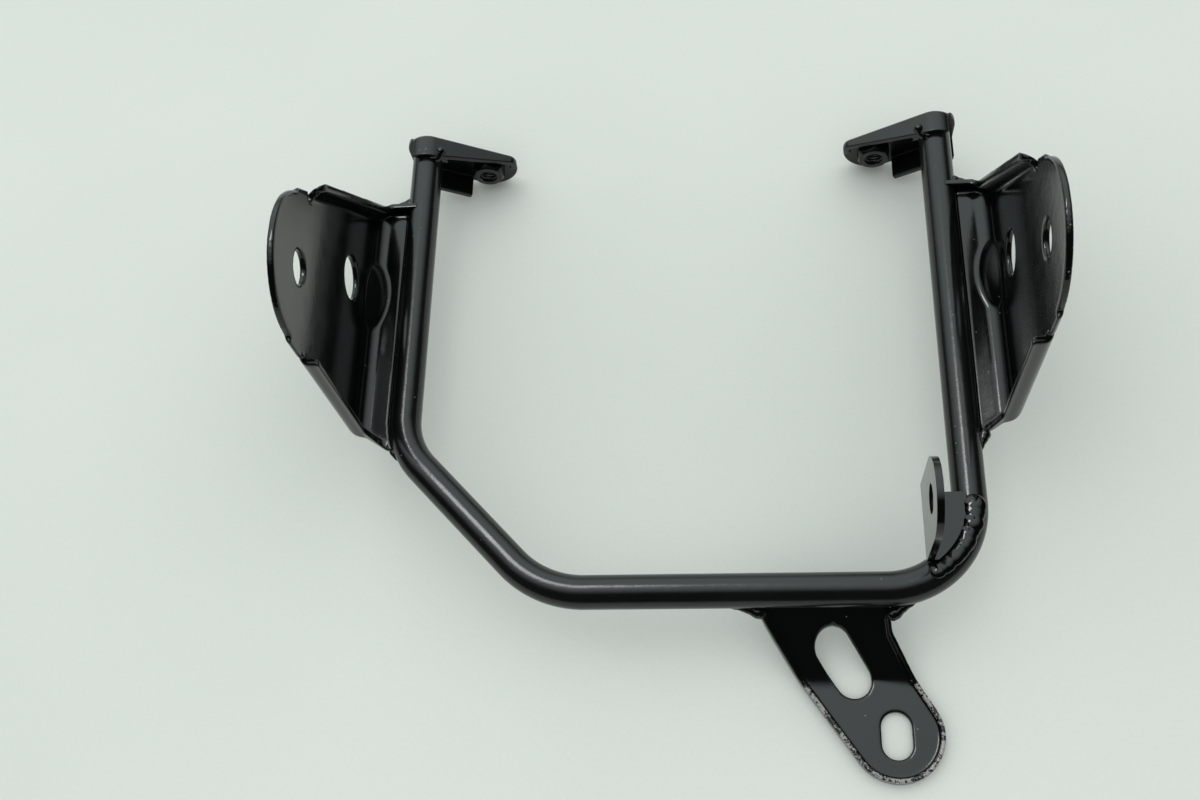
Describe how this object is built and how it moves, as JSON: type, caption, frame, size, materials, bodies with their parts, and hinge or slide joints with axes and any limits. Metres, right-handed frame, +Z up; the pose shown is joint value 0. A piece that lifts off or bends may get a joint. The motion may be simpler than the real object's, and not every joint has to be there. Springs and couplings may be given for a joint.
{
  "type": "headlight mounting bracket",
  "caption": "Bent round-bar headlight bracket with pressed side ears, inward nut lugs, an upright corner tab and a slotted lower tab, welded together and coated black.",
  "frame": {"origin": "middle of the underside of the bounding box, on the table the bracket rests on", "axes": "+X across the bracket toward the ear beside the corner tab, +Y along the legs away from the cross bar, +Z up, the way the ears rise"},
  "size_m": [0.202, 0.2084, 0.1068],
  "materials": {
    "black_coat": "semi-gloss black coat",
    "weld_coat": "glossy black coat over a rippled weld",
    "nut_coat": "satin black coat"
  },
  "bodies": {
    "root": {"frame_rod": "black_coat", "left_ear": "black_coat", "right_ear": "black_coat", "left_lug": "black_coat", "right_lug": "black_coat", "left_weld_nut": "nut_coat", "right_weld_nut": "nut_coat", "corner_tab": "black_coat", "lower_tab": "black_coat", "left_ear_top_weld": "weld_coat", "left_ear_bottom_weld": "weld_coat", "right_ear_top_weld": "weld_coat", "right_ear_bottom_weld": "weld_coat", "left_lug_weld": "weld_coat", "right_lug_weld": "weld_coat", "corner_tab_weld": "weld_coat", "lower_tab_left_weld": "weld_coat", "lower_tab_right_weld": "weld_coat"}
  },
  "joints": []
}
